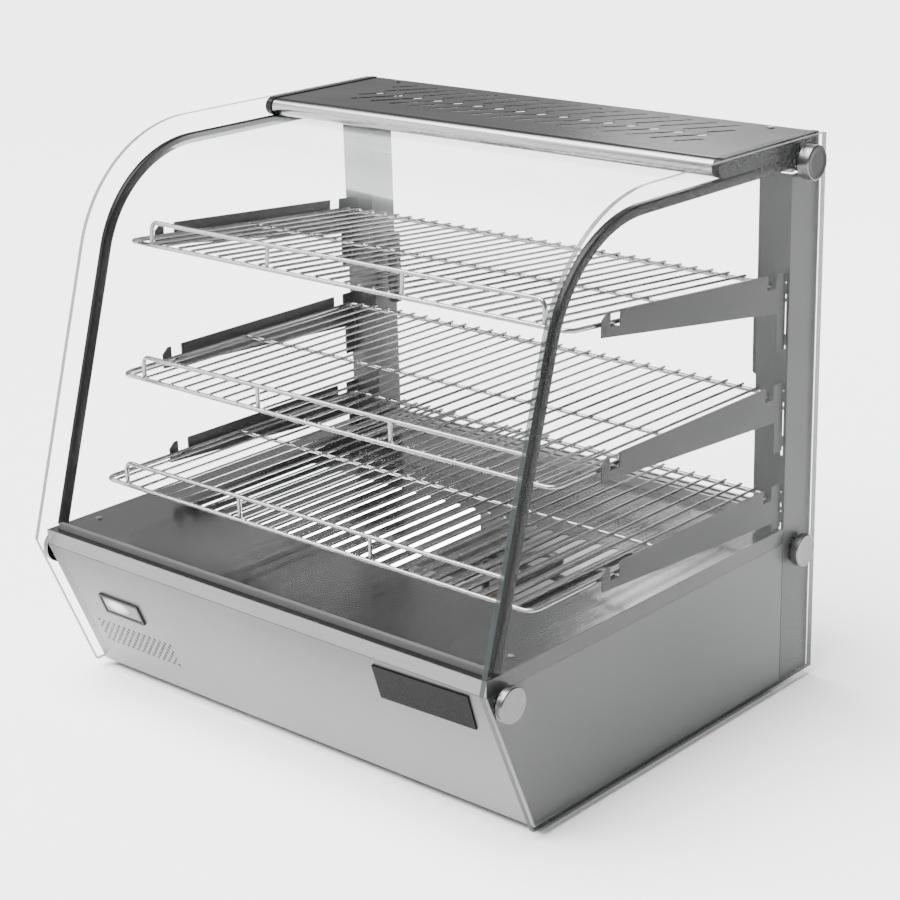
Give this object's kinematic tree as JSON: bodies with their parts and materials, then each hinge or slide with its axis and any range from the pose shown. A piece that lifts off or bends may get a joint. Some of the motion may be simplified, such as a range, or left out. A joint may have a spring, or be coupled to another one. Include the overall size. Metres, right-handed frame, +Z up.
{
  "type": "hot food display case",
  "caption": "Countertop heated food display case with curved front glass, wire shelves and sliding rear doors.",
  "frame": {"origin": "on the worktop under the middle of the case", "axes": "+X to the right seen from the front, +Y towards the rear doors, +Z up"},
  "size_m": [0.69, 0.566, 0.6232],
  "materials": {
    "brushed_steel": "brushed",
    "plain_steel": "satin",
    "rubber": "matte",
    "black_plastic": "matte",
    "black_trim": "satin",
    "clear_glass": "clear",
    "display": "gloss",
    "chrome": "polished",
    "element_steel": "heat-tinted",
    "lamp_glow": "frosted",
    "opal": "opal",
    "red_plastic": "gloss",
    "amber_plastic": "gloss",
    "pale_plastic": "matte"
  },
  "bodies": {
    "case": {"base_tray": "plain_steel", "front_panel": "brushed_steel", "side_panel_left": "brushed_steel", "side_panel_right": "brushed_steel", "rear_panel": "brushed_steel", "rim_frame": "brushed_steel", "deck_plate": "brushed_steel", "feet": "rubber", "badge": "black_plastic", "thermometer_bezel": "black_plastic", "thermometer_lens": "display", "thermometer_body": "black_plastic", "panel_screws": "chrome", "post_left": "plain_steel", "post_right": "plain_steel", "hood": "brushed_steel", "hood_cap_left": "black_trim", "hood_cap_right": "black_trim", "side_glass_left": "clear_glass", "side_glass_right": "clear_glass", "front_glass": "clear_glass", "trim_bar_left": "black_trim", "trim_bar_right": "black_trim", "front_glass_seal": "rubber", "door_track_top": "brushed_steel", "door_track_bottom": "brushed_steel", "bracket_top_left": "plain_steel", "bracket_top_right": "plain_steel", "bracket_middle_left": "plain_steel", "bracket_middle_right": "plain_steel", "bracket_bottom_left": "plain_steel", "bracket_bottom_right": "plain_steel", "fixing_caps": "chrome", "fixing_spacers": "chrome", "fixing_studs": "chrome", "heating_element": "element_steel", "element_clips": "plain_steel", "lamp_cover": "opal", "lamp": "lamp_glow", "lamp_holders": "black_plastic", "thermostat_body": "black_plastic", "terminal_block": "pale_plastic", "switch_housings": "black_plastic", "indicator_lamp": "amber_plastic", "cable_gland": "black_plastic"},
    "door_left": {"door_left": "clear_glass", "door_pull_left": "black_plastic"},
    "door_right": {"door_right": "clear_glass", "door_pull_right": "black_plastic"},
    "humidity_tray": {"water_tray": "brushed_steel"},
    "temperature_knob": {"thermostat_shaft": "chrome", "thermostat_knob": "black_plastic"},
    "heater_switch": {"heater_rocker": "red_plastic"},
    "top_shelf": {"shelf_top": "chrome", "guard_rail_top": "chrome"},
    "middle_shelf": {"shelf_middle": "chrome", "guard_rail_middle": "chrome"},
    "bottom_shelf": {"shelf_bottom": "chrome", "guard_rail_bottom": "chrome"},
    "light_switch": {"light_rocker": "red_plastic"}
  },
  "joints": [
    {"name": "door_left_slide", "type": "slide", "parent": "case", "child": "door_left", "axis": [1, 0, 0], "range_m": [0, 0.262]},
    {"name": "door_right_slide", "type": "slide", "parent": "case", "child": "door_right", "axis": [-1, 0, 0], "range_m": [0, 0.262]},
    {"name": "tray_slide", "type": "slide", "parent": "case", "child": "humidity_tray", "axis": [0, 1, 0], "range_m": [0, 0.15]},
    {"name": "thermostat_turn", "type": "hinge", "parent": "case", "child": "temperature_knob", "pos_m": [0.232, 0.262, 0.112], "axis": [0, 1, 0], "range_deg": [0, 270]},
    {"name": "top_shelf_lift", "type": "slide", "parent": "case", "child": "top_shelf", "axis": [0, 0, 1], "range_m": [0, 0.015]},
    {"name": "middle_shelf_lift", "type": "slide", "parent": "case", "child": "middle_shelf", "axis": [0, 0, 1], "range_m": [0, 0.015]},
    {"name": "bottom_shelf_lift", "type": "slide", "parent": "case", "child": "bottom_shelf", "axis": [0, 0, 1], "range_m": [0, 0.015]},
    {"name": "heater_rock", "type": "hinge", "parent": "case", "child": "heater_switch", "pos_m": [0.178, 0.258, 0.112], "axis": [1, 0, 0], "range_deg": [0, 16]},
    {"name": "light_rock", "type": "hinge", "parent": "case", "child": "light_switch", "pos_m": [0.146, 0.258, 0.112], "axis": [1, 0, 0], "range_deg": [0, 16]}
  ]
}
